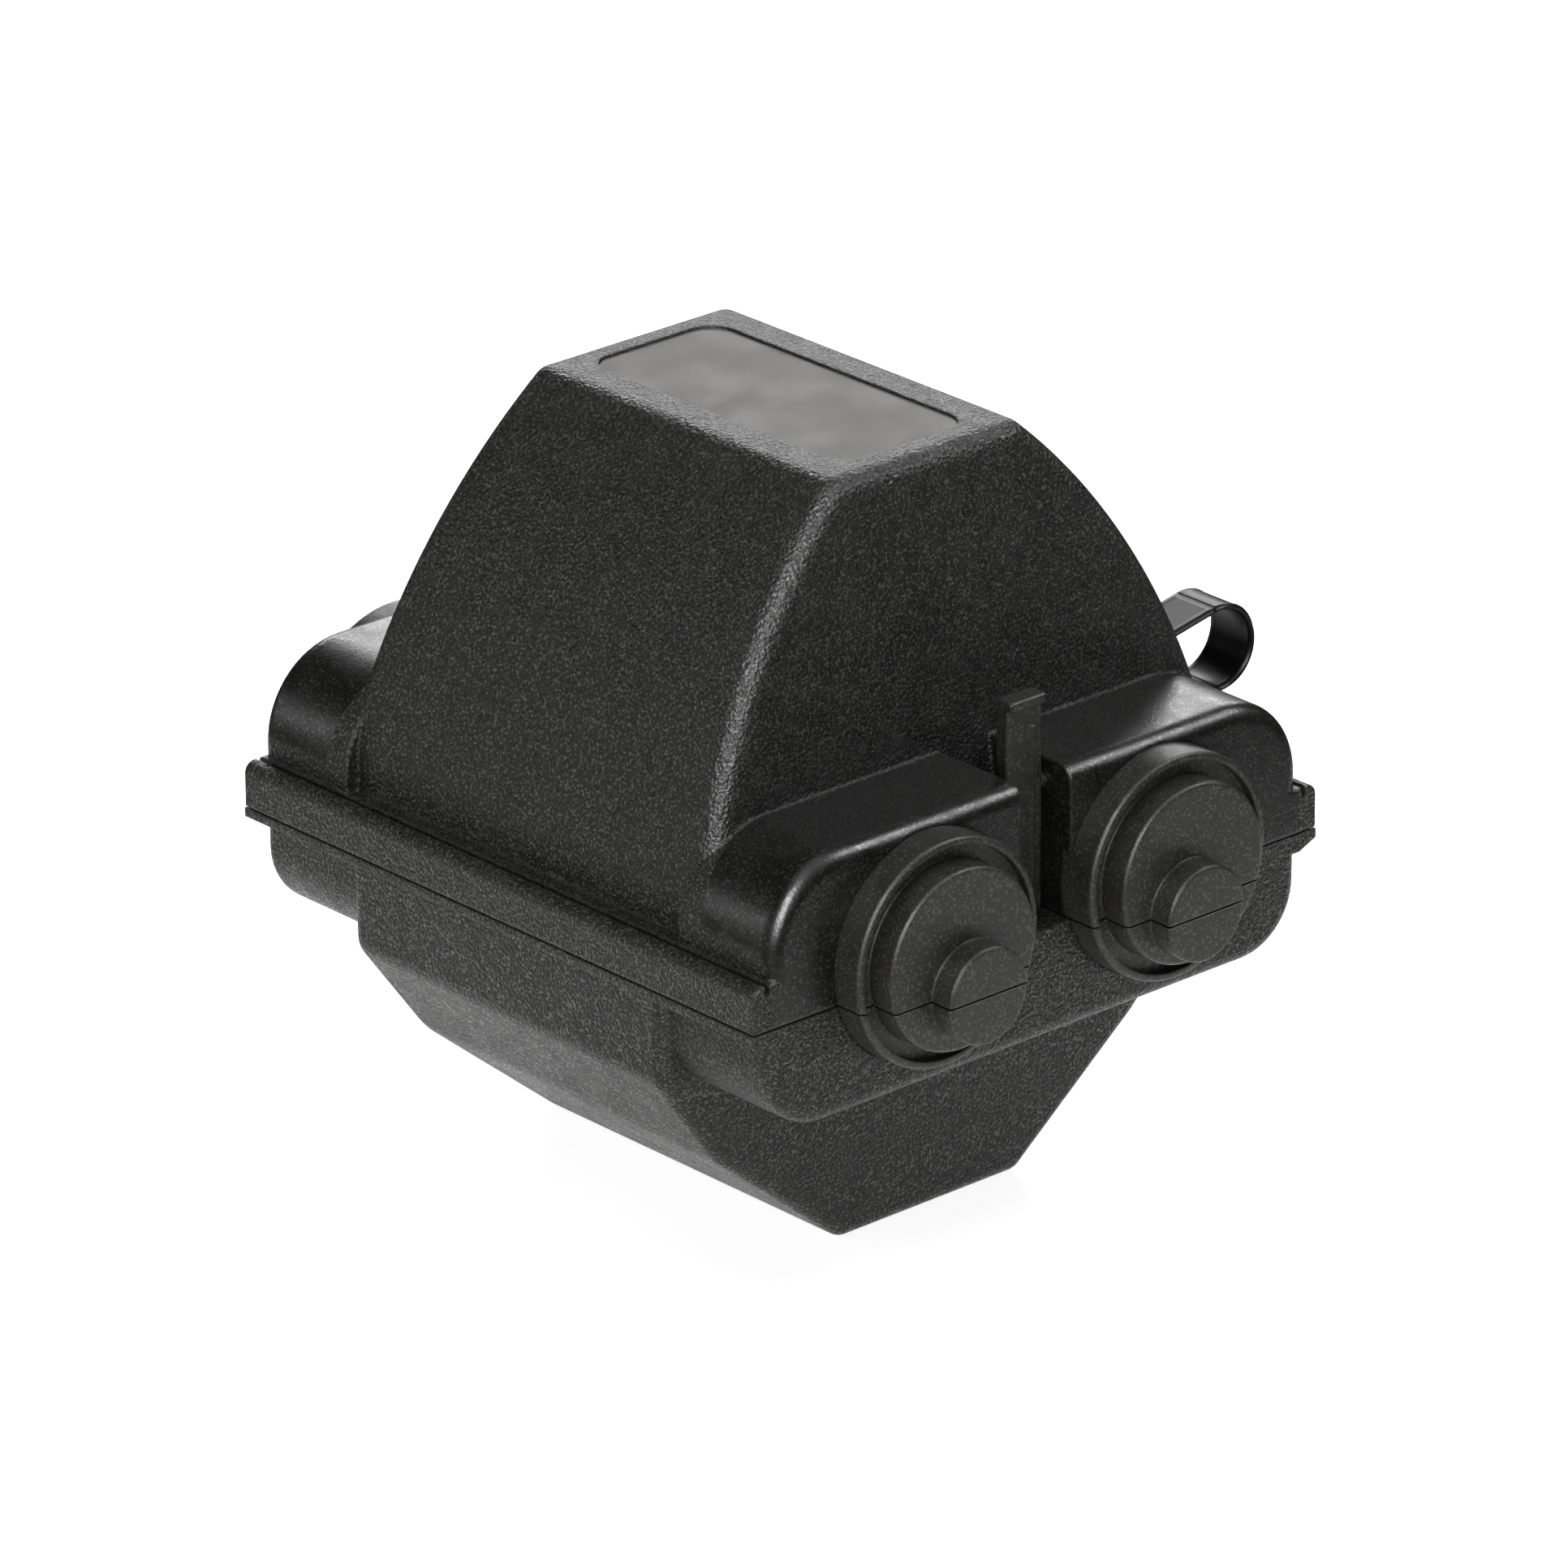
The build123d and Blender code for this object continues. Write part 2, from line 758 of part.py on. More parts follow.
def lower_gel():
    body = with_entry_gel(lower_cavity(wall + gel_clearance)) & below(lower_gel_level)
    half = block_half_width() + gel_clearance
    half_y = block_length / 2 + gel_clearance
    body -= block((-half, half), (-half_y, half_y), (block_bottom - gel_clearance, 0))
    for post in posts(gel_clearance, -seam_height - overrun):
        body -= post
    for direction in (-1, 1):
        middle = direction * clamp_bar_place
        half_bar = clamp_bar_width / 2 + gel_clearance
        length = clamp_bar_length / 2 + gel_clearance
        bottom = clamp_bar_top - clamp_bar_thickness - gel_clearance
        body -= block((-length, length), (middle - half_bar, middle + half_bar), (bottom, 0))
        foot_half = notch_width / 2 + wall + gel_clearance
        inner = direction * (half_length - bridge_depth - gel_clearance)
        span = (notch_centre - foot_half, notch_centre + foot_half)
        body -= block(span, sorted((direction * reach, inner)), (-rim - bridge_foot - gel_clearance, 0))
    return body


def upper_gel():
    body = with_entry_gel(upper_cavity(wall + gel_clearance)) & above(upper_gel_level)
    half = block_half_width() + block_pocket_clearance
    half_y = block_length / 2 + block_pocket_clearance
    return body - block((-half, half), (-half_y, half_y), (0, block_top + block_pocket_clearance))


# ---------------------------------------------------------------- all pieces
def all_parts():
    parts = {
        "upper_shell": upper_shell(),
        "lower_shell": lower_shell(),
        "label_plate": label_plate(),
        "hinge_strap": strap(),
        "latch_front": latch(-1),
        "latch_rear": latch(1),
        "side_seal_left": side_seal_bar(-1, 0, seal_proud),
        "side_seal_right": side_seal_bar(1, 0, seal_proud),
        "upper_gel": upper_gel(),
        "lower_gel": lower_gel(),
        "terminal_block": terminal_block(),
        "terminal_tubes": terminal_tubes(),
        "terminal_screws": terminal_screws(),
        "block_screws": block_screws(),
        "clamp_bar_front": clamp_bar(-1),
        "clamp_bar_rear": clamp_bar(1),
        "clamp_screws": clamp_screws(),
    }
    for end, side, direction, centre, stub_centre in entry_places():
        whole = entry(direction, centre, stub_centre)
        parts[f"entry_{end}_{side}_upper"] = whole & above(rim)
        parts[f"entry_{end}_{side}_lower"] = whole & below(-rim)
    return parts


os.makedirs("parts", exist_ok=True)
for name, shape in all_parts().items():
    export_step(lift * shape, f"parts/{name}.step")
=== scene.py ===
import json
import math

import bmesh
import bpy
from mathutils import Matrix, Vector, noise


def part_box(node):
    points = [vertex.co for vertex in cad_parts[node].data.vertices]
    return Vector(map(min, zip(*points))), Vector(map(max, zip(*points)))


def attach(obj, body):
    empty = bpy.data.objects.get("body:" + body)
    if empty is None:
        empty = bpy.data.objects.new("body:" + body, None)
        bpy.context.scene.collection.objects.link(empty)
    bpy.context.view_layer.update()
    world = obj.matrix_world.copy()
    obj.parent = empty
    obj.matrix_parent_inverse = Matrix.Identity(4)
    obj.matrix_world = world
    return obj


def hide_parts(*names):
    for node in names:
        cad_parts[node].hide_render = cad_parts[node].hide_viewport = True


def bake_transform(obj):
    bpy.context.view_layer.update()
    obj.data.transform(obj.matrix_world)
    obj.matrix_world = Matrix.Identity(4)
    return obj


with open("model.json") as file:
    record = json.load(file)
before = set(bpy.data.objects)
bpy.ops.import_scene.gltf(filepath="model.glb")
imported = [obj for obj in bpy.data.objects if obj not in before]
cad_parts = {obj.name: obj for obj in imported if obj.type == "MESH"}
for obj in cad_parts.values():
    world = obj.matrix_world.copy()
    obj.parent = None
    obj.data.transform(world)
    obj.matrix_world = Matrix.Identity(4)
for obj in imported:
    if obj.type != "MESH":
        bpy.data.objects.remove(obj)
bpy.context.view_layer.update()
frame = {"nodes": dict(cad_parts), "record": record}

# A black moulded cable joint box: grained shells, smoother entry housings, a grey blank label,
# a flexible strap, and gel, seals and a terminal block inside. All lengths are in metres.
MM = 0.001

# The seam lies where the upper and the lower shell meet.
SEAM_GAP = 0.3 * MM
SEAM_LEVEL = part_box("upper_shell")[0].z - SEAM_GAP / 2

# The shells' surface: the dome is grained, and the four entry housings outside it are smoother.
DOME_END = 36.1 * MM  # at the seam, from the middle of the box
DOME_END_SLOPE = 0.141  # how much nearer the middle it is for each unit up
DOME_END_SOFT = 0.5 * MM
HOUSING_SIDE = 44.0 * MM
HOUSING_SIDE_SOFT = 0.3 * MM
SEAM_SOFT = 0.2 * MM


# ---------------------------------------------------------------- shader helpers
EDGE_STARTS = 0.99  # the cosine of the turn from which a place counts as an edge
EDGE_FULL = 0.80


class Surface:
    """A material's node graph: one Principled shader, fed by textures in the object's own space."""

    def __init__(self, name):
        self.material = bpy.data.materials.new(name)
        self.material.use_nodes = True
        self.tree = self.material.node_tree
        self.tree.nodes.clear()
        output = self.tree.nodes.new("ShaderNodeOutputMaterial")
        self.shader = self.tree.nodes.new("ShaderNodeBsdfPrincipled")
        self.tree.links.new(self.shader.outputs["BSDF"], output.inputs["Surface"])
        self.place = self.tree.nodes.new("ShaderNodeTexCoord").outputs["Object"]
        self.rounded = None

    def node(self, kind, inputs, **settings):
        made = self.tree.nodes.new(kind)
        for name, value in settings.items():
            setattr(made, name, value)
        for key, value in inputs.items():
            self.feed(made.inputs[key], value)
        return made

    def feed(self, socket, value):
        if isinstance(value, bpy.types.NodeSocket):
            self.tree.links.new(value, socket)
        else:
            socket.default_value = value

    def set(self, **values):
        """Sets the shader's sockets: a name's underscores stand for spaces."""
        for name, value in values.items():
            if name.endswith("Color") or name.endswith("Tint"):
                if not isinstance(value, bpy.types.NodeSocket):
                    value = (*value, 1.0)
            self.feed(self.shader.inputs[name.replace("_", " ")], value)

    def noise(self, size, detail=2.0, roughness=0.5, stretch=None):
        """Noise with features of this size, from 0 to 1, drawn out by stretch along each axis."""
        place = self.place
        if stretch:
            inputs = {0: place, 1: stretch}
            place = self.node("ShaderNodeVectorMath", inputs, operation="MULTIPLY").outputs[0]
        inputs = {"Vector": place, "Scale": 1 / size, "Detail": detail, "Roughness": roughness}
        return self.node("ShaderNodeTexNoise", inputs).outputs["Fac"]

    def cells(self, size):
        """The distance to the nearest of many scattered points, about this far apart."""
        inputs = {"Vector": self.place, "Scale": 1 / size}
        return self.node("ShaderNodeTexVoronoi", inputs).outputs["Distance"]

    def range(self, value, low, high, start=0.0, end=1.0):
        """Value from low to high, turned smoothly into start to end."""
        inputs = {0: value, 1: low, 2: high, 3: start, 4: end}
        return self.node("ShaderNodeMapRange", inputs, interpolation_type="SMOOTHSTEP").outputs[0]

    def math(self, operation, first, second=0.0):
        """The result of one sum on two numbers."""
        return self.node("ShaderNodeMath", {0: first, 1: second}, operation=operation).outputs[0]

    def blend(self, amount, first, second):
        """A colour between two colours."""
        made = self.node("ShaderNodeMix", {"Factor": amount}, data_type="RGBA")
        for socket, value in ((made.inputs[6], first), (made.inputs[7], second)):
            self.feed(socket, value if isinstance(value, bpy.types.NodeSocket) else (*value, 1.0))
        return made.outputs[2]

    def between(self, amount, first, second):
        """A number between two numbers."""
        inputs = {0: amount, 2: first, 3: second}
        return self.node("ShaderNodeMix", inputs, data_type="FLOAT").outputs[0]

    def soften(self, width):
        """Rounds the sharp edges in the shading, and remembers how far the normal turned there."""
        self.rounded = self.node("ShaderNodeBevel", {"Radius": width}, samples=4).outputs[0]

    def bump(self, height, depth, strength=1.0, under=None):
        """A normal for this height, laid over another normal or over the rounded edges."""
        under = under or self.rounded
        inputs = {"Height": height, "Distance": depth, "Strength": strength}
        if under:
            inputs["Normal"] = under
        return self.node("ShaderNodeBump", inputs).outputs[0]

    def edges(self):
        """1 on the sharp edges and 0 on the faces: how far rounding turned the normal."""
        plain = self.node("ShaderNodeNewGeometry", {}).outputs["Normal"]
        inputs = {0: self.rounded, 1: plain}
        agree = self.node("ShaderNodeVectorMath", inputs, operation="DOT_PRODUCT").outputs["Value"]
        return self.range(agree, EDGE_STARTS, EDGE_FULL)


# ---------------------------------------------------------------- materials
# The moulded shell's colours
BLACK = (0.0036, 0.0035, 0.0031)
CHARCOAL = (0.0072, 0.0069, 0.0062)
BLACK_CLOUD = (0.0030, 0.0029, 0.0026)
# Painted shade: a darker colour for the hollows of the grain's pits
PIT_SHADE = (0.0020, 0.0020, 0.0018)
GREY_GRAIN = (0.0130, 0.0127, 0.0116)
# Painted glint: a bright colour for specks that stand in for highlights sparkling on the grain
PAINTED_GLINT = (0.088, 0.086, 0.080)
# Rubbed edges: partly real wear and partly painted highlight along the sharp edges
RUBBED_EDGE_AND_HIGHLIGHT = (0.075, 0.073, 0.068)


def smooth_parts(s):
    """1 on the upper entry housings, 0 on the dome, the flanges and the lower shell."""
    split = s.node("ShaderNodeSeparateXYZ", {0: s.place})
    across = s.math("ABSOLUTE", split.outputs[0])
    along = s.math("ABSOLUTE", split.outputs[1])
    height = s.math("SUBTRACT", split.outputs[2], SEAM_LEVEL)
    along = s.math("ADD", along, s.math("MULTIPLY", height, DOME_END_SLOPE))
    past_dome = s.range(along, DOME_END, DOME_END + DOME_END_SOFT)
    inside_flange = s.range(across, HOUSING_SIDE + HOUSING_SIDE_SOFT, HOUSING_SIDE)
    above_seam = s.range(height, -SEAM_SOFT, 0.0)
    return s.math("MULTIPLY", s.math("MULTIPLY", past_dome, inside_flange), above_seam)


def shell_material():
    """Spark-eroded black moulding: a dense grain with painted glints, bright specks of painted highlight
    in its colour, smoother on the entry housings.
    """
    s = Surface("moulded_shell")
    smooth = smooth_parts(s)
    grained = s.range(smooth, 0.0, 1.0, 1.0, 0.0)
    grain = s.noise(0.46 * MM, detail=2.0, roughness=0.7)
    pits = s.cells(0.50 * MM)
    painted_glint_noise = s.noise(0.34 * MM, detail=0.0)
    mottle = s.noise(4.0 * MM, detail=4.0, roughness=0.6)
    clouds = s.noise(24.0 * MM, detail=2.0)
    s.soften(0.7 * MM)
    edge_wear_and_highlight = s.edges()

    body = s.blend(mottle, BLACK, CHARCOAL)
    body = s.blend(s.range(clouds, 0.35, 0.70, 0.0, 0.5), body, BLACK_CLOUD)
    grain_amount = s.range(grained, 0, 1, 0.15, 0.9)
    body = s.blend(s.math("MULTIPLY", s.range(grain, 0.45, 0.60), grain_amount), body, GREY_GRAIN)
    # Painted glints: bright specks in the colour, painted highlight on the grain; the gloss is also a
    # little sharper there
    painted_glint = s.math("MULTIPLY", s.range(painted_glint_noise, 0.55, 0.72), s.range(grained, 0.0, 1.0, 0.45, 1.0))
    body = s.blend(s.math("MULTIPLY", painted_glint, 0.85), body, PAINTED_GLINT)
    # Painted shade: the colour darkens in the pits of the bump, where shade falls
    body = s.blend(s.range(pits, 0.08, 0.34, 0.75, 0.0), body, PIT_SHADE)
    # Paler sharp edges: partly rubbed wear, partly painted highlight
    worn_and_highlit = s.math("MULTIPLY", edge_wear_and_highlight, s.range(grain, 0.35, 0.65, 0.05, 0.55))
    body = s.blend(worn_and_highlit, body, RUBBED_EDGE_AND_HIGHLIGHT)

    dull = s.range(mottle, 0.25, 0.75, 0.38, 0.50)
    sleek = s.range(mottle, 0.25, 0.75, 0.30, 0.42)
    rough = s.between(smooth, dull, sleek)
    rough = s.math("SUBTRACT", rough, s.math("MULTIPLY", painted_glint, 0.18))

    relief = s.math("ADD", s.math("MULTIPLY", grain, 0.7), s.math("MULTIPLY", pits, 0.5))
    normal = s.bump(relief, 0.26 * MM, s.range(grained, 0.0, 1.0, 0.12, 1.0))
    waves = s.noise(9.0 * MM, detail=1.0)
    normal = s.bump(waves, 0.10 * MM, 0.35, normal)
    s.set(Base_Color=body, Roughness=rough, Normal=normal, Specular_IOR_Level=0.20)
    return s.material


def smooth_black(name, size, painted_glint_amount, low_rough, high_rough):
    """Satin black moulding with a faint grain, a few bright specks of painted glint, and paler edges,
    partly rubbed wear and partly painted highlight.
    """
    s = Surface(name)
    grain = s.noise(size, detail=3.0, roughness=0.6)
    painted_glint_noise = s.noise(size, detail=0.0)
    mottle = s.noise(3.0 * MM, detail=4.0, roughness=0.6)
    s.soften(0.45 * MM)
    edge_wear_and_highlight = s.edges()
    body = s.blend(mottle, (0.0180, 0.0176, 0.0163), (0.0300, 0.0293, 0.0272))
    # Painted glints: bright specks in the colour that stand in for highlights
    painted_glint = s.math("MULTIPLY", s.range(painted_glint_noise, 0.58, 0.72), painted_glint_amount)
    body = s.blend(painted_glint, body, (0.10, 0.098, 0.092))
    # Paler sharp edges: partly rubbed wear, partly painted highlight
    worn_and_highlit = s.math("MULTIPLY", edge_wear_and_highlight, s.range(grain, 0.30, 0.70, 0.10, 0.50))
    body = s.blend(worn_and_highlit, body, (0.070, 0.069, 0.065))
    rough = s.range(mottle, 0.25, 0.75, low_rough, high_rough)
    normal = s.bump(grain, 0.10 * MM, 0.6)
    s.set(Base_Color=body, Roughness=rough, Normal=normal, Specular_IOR_Level=0.22)
    return s.material


def label_material():
    """A matt grey printed plate, with a fine tooth and a slightly darker rim, a painted shadow of the gap
    around it.
    """
    s = Surface("label_plate")
    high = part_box("label_plate")[1]
    shadow_rim_width = 0.5 * MM
    tooth = s.noise(0.30 * MM, detail=3.0, roughness=0.7)
    blotch = s.noise(7.0 * MM, detail=3.0, roughness=0.6)
    scuff = s.noise(2.0 * MM, detail=5.0, roughness=0.7, stretch=(1.0, 0.25, 1.0))
    body = s.blend(blotch, (0.128, 0.125, 0.117), (0.158, 0.154, 0.145))
    body = s.blend(s.range(tooth, 0.35, 0.70, 0.0, 0.35), body, (0.170, 0.166, 0.157))
    body = s.blend(s.range(scuff, 0.60, 0.78, 0.0, 0.30), body, (0.100, 0.098, 0.092))
    split = s.node("ShaderNodeSeparateXYZ", {0: s.place})
    edge_x = s.range(s.math("ABSOLUTE", split.outputs[0]), high.x - shadow_rim_width, high.x)
    edge_y = s.range(s.math("ABSOLUTE", split.outputs[1]), high.y - shadow_rim_width, high.y)
    rim = s.math("MAXIMUM", edge_x, edge_y)
    # Painted shadow: the rim is darkened where the gap around the plate casts shade
    body = s.blend(s.math("MULTIPLY", rim, 0.6), body, (0.09, 0.088, 0.083))
    rough = s.range(blotch, 0.3, 0.7, 0.55, 0.68)
    normal = s.bump(tooth, 0.05 * MM, 0.6)
    s.set(Base_Color=body, Roughness=rough, Normal=normal, Specular_IOR_Level=0.15)
    return s.material


def strap_material():
    """Flexible black strap, with fine lines drawn along it and paler edges, partly stress marks and
    partly painted highlight.
    """
    s = Surface("strap_flexible")
    lines = s.noise(0.25 * MM, detail=3.0, stretch=(0.15, 2.0, 0.15))
    mottle = s.noise(2.5 * MM, detail=4.0)
    s.soften(0.3 * MM)
    edge_wear_and_highlight = s.edges()
    body = s.blend(mottle, (0.0022, 0.0022, 0.0021), (0.0045, 0.0044, 0.0042))
    # Paler sharp edges: partly stress marks, partly painted highlight
    body = s.blend(s.math("MULTIPLY", edge_wear_and_highlight, 0.35), body, (0.07, 0.069, 0.066))
    rough = s.range(lines, 0.3, 0.7, 0.28, 0.42)
    normal = s.bump(lines, 0.03 * MM, 0.4)
    s.set(Base_Color=body, Roughness=rough, Normal=normal, Specular_IOR_Level=0.10)
    return s.material


def rubber_material():
    """Matt dusty rubber."""
    s = Surface("seal_rubber")
    fine = s.noise(0.25 * MM, detail=4.0, roughness=0.7)
    dust = s.noise(1.5 * MM, detail=5.0, roughness=0.7)
    body = s.blend(dust, (0.020, 0.020, 0.021), (0.040, 0.040, 0.041))
    rough = s.range(fine, 0.3, 0.7, 0.62, 0.80)
    s.set(Base_Color=body, Roughness=rough, Normal=s.bump(fine, 0.05 * MM, 0.5))
    return s.material


def gel_material():
    """Clear sealing gel with a blue tint, clouded inside and wet on the surface."""
    s = Surface("sealing_gel")
    cloud = s.noise(6.0 * MM, detail=4.0, roughness=0.6)
    bubbles = s.cells(2.6 * MM)
    ripples = s.noise(3.5 * MM, detail=2.0)
    body = s.blend(cloud, (0.150, 0.235, 0.330), (0.240, 0.340, 0.440))
    body = s.blend(s.range(bubbles, 0.05, 0.14, 0.5, 0.0), body, (0.48, 0.58, 0.66))
    rough = s.range(cloud, 0.3, 0.7, 0.24, 0.36)
    normal = s.bump(ripples, 0.15 * MM, 0.3)
    s.set(Base_Color=body, Roughness=rough, Normal=normal, Coat_Weight=0.25, Coat_Roughness=0.18)
    return s.material


def nylon_material():
    """Milky natural nylon with flow marks, and paler edges, partly rubbed wear and partly painted
    highlight.
    """
    s = Surface("terminal_nylon")
    flow = s.noise(3.0 * MM, detail=4.0, roughness=0.6, stretch=(0.4, 1.6, 1.0))
    fine = s.noise(0.3 * MM, detail=3.0, roughness=0.6)
    s.soften(0.3 * MM)
    edge_wear_and_highlight = s.edges()
    body = s.blend(flow, (0.56, 0.54, 0.47), (0.72, 0.70, 0.63))
    # Paler sharp edges: partly rubbed wear, partly painted highlight
    body = s.blend(s.math("MULTIPLY", edge_wear_and_highlight, 0.4), body, (0.85, 0.84, 0.80))
    rough = s.range(flow, 0.3, 0.7, 0.36, 0.50)
    s.set(Base_Color=body, Roughness=rough, Normal=s.bump(fine, 0.04 * MM, 0.4))
    return s.material


BRASS = (0.78, 0.57, 0.24)
BRASS_STAIN = (0.42, 0.27, 0.10)
STEEL = (0.66, 0.66, 0.67)
STEEL_STAIN = (0.36, 0.36, 0.38)


def metal_material(name, light, dark, low_rough, high_rough, stretch):
    """Turned or plated metal: drawn lines, darker stains and brighter edges, partly rubbed wear and
    partly painted highlight.
    """
    s = Surface(name)
    lines = s.noise(0.22 * MM, detail=3.0, stretch=stretch)
    stain = s.noise(1.6 * MM, detail=4.0, roughness=0.65)
    s.soften(0.2 * MM)
    edge_wear_and_highlight = s.edges()
    body = s.blend(s.range(stain, 0.35, 0.75), light, dark)
    brighter = tuple(min(1.0, 1.25 * c) for c in light)
    # Brighter sharp edges: partly rubbed wear, partly painted highlight
    body = s.blend(s.math("MULTIPLY", edge_wear_and_highlight, 0.5), body, brighter)
    rough = s.range(lines, 0.3, 0.7, low_rough, high_rough)
    s.set(Base_Color=body, Roughness=rough, Metallic=1.0, Normal=s.bump(lines, 0.02 * MM, 0.35))
    return s.material


def paint(materials, node_slots):
    """Gives each carried-over CAD node the material of its slot."""
    for name, slot in node_slots.items():
        for holder in frame["nodes"][name].material_slots:
            holder.material = materials[slot]


# ---------------------------------------------------------------- pieces that replace CAD nodes
def new_piece(name, mesh, material, smooth=True):
    """An object for this mesh, in this material alone."""
    piece = bpy.data.objects.new(name, mesh)
    bpy.context.scene.collection.objects.link(piece)
    mesh.materials.clear()
    mesh.materials.append(material)
    for face in mesh.polygons:
        face.use_smooth = smooth
    return piece


STRAP_THICKNESS = 0.7 * MM
STRAP_RIM = 0.18 * MM  # how much thicker the strap's two rims are
STRAP_RIM_WIDTH = 0.9 * MM
STRAP_ROOT = 2.4 * MM  # length of the thicker root at each flange
STRAP_ROOT_GROWTH = 0.45 * MM
STRAP_UPPER = 4.2 * MM  # where the strap leaves each flange, from the seam
STRAP_LOWER = -0.7 * MM
STRAP_AXIS = 3.4 * MM  # the loop's middle, from the seam: the strap bends about its far end
STRAP_STATIONS = 30  # steps along each straight run; the loop takes twice as many
STRAP_ACROSS = 16
STRAP_CORNER = 0.35 * MM
STRAP_EDGE = 0.05 * MM  # half the strap's thickness at its very edge


def strap_route():
    """The middle line of the strap in XZ, from the upper flange round the loop to the lower one."""
    low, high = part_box("hinge_strap")
    middle = SEAM_LEVEL + STRAP_AXIS
    radius = (high.z - low.z) / 2 - STRAP_THICKNESS / 2
    centre = Vector((high.x - radius - STRAP_THICKNESS / 2, middle))
    upper = Vector((low.x, SEAM_LEVEL + STRAP_UPPER))
    lower = Vector((low.x, SEAM_LEVEL + STRAP_LOWER))

    def tangent_angle(point, side):
        """The angle on the loop where a straight run from point touches it, above or below."""
        run = point - centre
        return math.atan2(run.y, run.x) - side * math.acos(radius / run.length)

    start = tangent_angle(upper, 1) % (2 * math.pi)
    end = tangent_angle(lower, -1) % (2 * math.pi) - 2 * math.pi
    arc = []
    for i in range(2 * STRAP_STATIONS + 1):
        angle = start + (end - start) * i / (2 * STRAP_STATIONS)
        arc.append(centre + radius * Vector((math.cos(angle), math.sin(angle))))
    first = [upper.lerp(arc[0], i / STRAP_STATIONS) for i in range(STRAP_STATIONS)]
    last = [arc[-1].lerp(lower, (i + 1) / STRAP_STATIONS) for i in range(STRAP_STATIONS)]
    return first + arc + last


def strap_section(half_width, half_thickness):
    """The strap's outline across its width: flat in the middle, with a rounded rim at each edge."""
    top = []
    for i in range(STRAP_ACROSS + 1):
        y = -half_width + 2 * half_width * i / STRAP_ACROSS
        from_edge = half_width - abs(y)
        rim = max(0.0, 1 - abs(from_edge - STRAP_RIM_WIDTH / 2) / (STRAP_RIM_WIDTH / 2))
        closing = min(1.0, from_edge / STRAP_CORNER)
        rise = half_thickness * math.sqrt(1 - (1 - closing) ** 2) + STRAP_RIM / 2 * rim
        top.append((y, max(rise, STRAP_EDGE)))
    return top + [(y, -z) for y, z in reversed(top)]


def strap_rings(route, low, high):
    """The strap's outline at each point of its route, thicker at both roots."""
    middle_y = (low.y + high.y) / 2
    half_width = (high.y - low.y) / 2
    lengths = [0.0]
    for a, b in zip(route, route[1:]):
        lengths.append(lengths[-1] + (b - a).length)
    rings = []
    for i, point in enumerate(route):
        before = route[max(i - 1, 0)]
        after = route[min(i + 1, len(route) - 1)]
        forward = (after - before).normalized()
        out = Vector((-forward.y, forward.x))
        from_end = min(lengths[i], lengths[-1] - lengths[i])
        root = max(0.0, 1 - from_end / STRAP_ROOT) ** 2
        ring = []
        for y, rise in strap_section(half_width, STRAP_THICKNESS / 2 + STRAP_ROOT_GROWTH * root):
            place = point + out * rise
            ring.append((place.x, middle_y + y, place.y))
        rings.append(ring)
    return rings


def mesh_of_rings(name, rings):
    """A closed mesh through outlines of the same length, capped at both ends."""
    bm = bmesh.new()
    rows = [[bm.verts.new(point) for point in ring] for ring in rings]
    count = len(rows[0])
    for a, b in zip(rows, rows[1:]):
        for j in range(count):
            k = (j + 1) % count
            bm.faces.new((a[j], a[k], b[k], b[j]))
    bm.faces.new(rows[0])
    bm.faces.new(list(reversed(rows[-1])))
    bmesh.ops.recalc_face_normals(bm, faces=bm.faces)
    mesh = bpy.data.meshes.new(name)
    bm.to_mesh(mesh)
    bm.free()
    return mesh


def make_strap(material):
    """Two straight runs, each held by its shell, and a loop between them that is held by neither."""
    low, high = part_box("hinge_strap")
    route = strap_route()
    rings = strap_rings(route, low, high)
    bends = (STRAP_STATIONS, 3 * STRAP_STATIONS)
    stretches = {
        "strap_upper_run": rings[:bends[0] + 1],
        "strap_loop": rings[bends[0]:bends[1] + 1],
        "strap_lower_run": rings[bends[1]:],
    }
    pieces = {}
    for name, part in stretches.items():
        pieces[name] = new_piece(name, mesh_of_rings(name, part), material)
        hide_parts("hinge_strap")
    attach(pieces["strap_upper_run"], "lid")
    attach(pieces["strap_lower_run"], "base")
    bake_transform(pieces["strap_loop"])


SEAL_SEGMENTS = 160
SEAL_ROUND = 7
SEAL_CROWN = 0.55 * MM
SEAL_RIDGE = 0.06 * MM
SEAL_RIDGE_PITCH = 2.0 * MM
SEAL_TAPER = 0.8 * MM  # length over which each end is rounded


def make_seal(node, material):
    """A rubber strip with a rounded top, and small ridges across it that press into the flange."""
    low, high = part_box(node)
    half = (high.x - low.x) / 2
    centre = (low.x + high.x) / 2
    rings = []
    for i in range(SEAL_SEGMENTS + 1):
        y = low.y + (high.y - low.y) * i / SEAL_SEGMENTS
        ridge = SEAL_RIDGE * (1 + math.cos(2 * math.pi * y / SEAL_RIDGE_PITCH)) / 2
        taper = min(1.0, min(y - low.y, high.y - y) / SEAL_TAPER)
        drop = SEAL_CROWN * (1 - math.sqrt(1 - (1 - taper) ** 2))
        shoulder = high.z - SEAL_RIDGE + ridge - drop - SEAL_CROWN
        ring = [(centre - half, low.z), (centre - half, shoulder)]
        for j in range(1, SEAL_ROUND):
            angle = math.pi * (1 - j / SEAL_ROUND)
            ring.append((centre + half * math.cos(angle), shoulder + SEAL_CROWN * math.sin(angle)))
        ring += [(centre + half, shoulder), (centre + half, low.z)]
        rings.append([(x, y, z) for x, z in ring])
    piece = new_piece(node + "_strip", mesh_of_rings(node + "_strip", rings), material)
    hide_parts(node)
    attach(piece, "base")


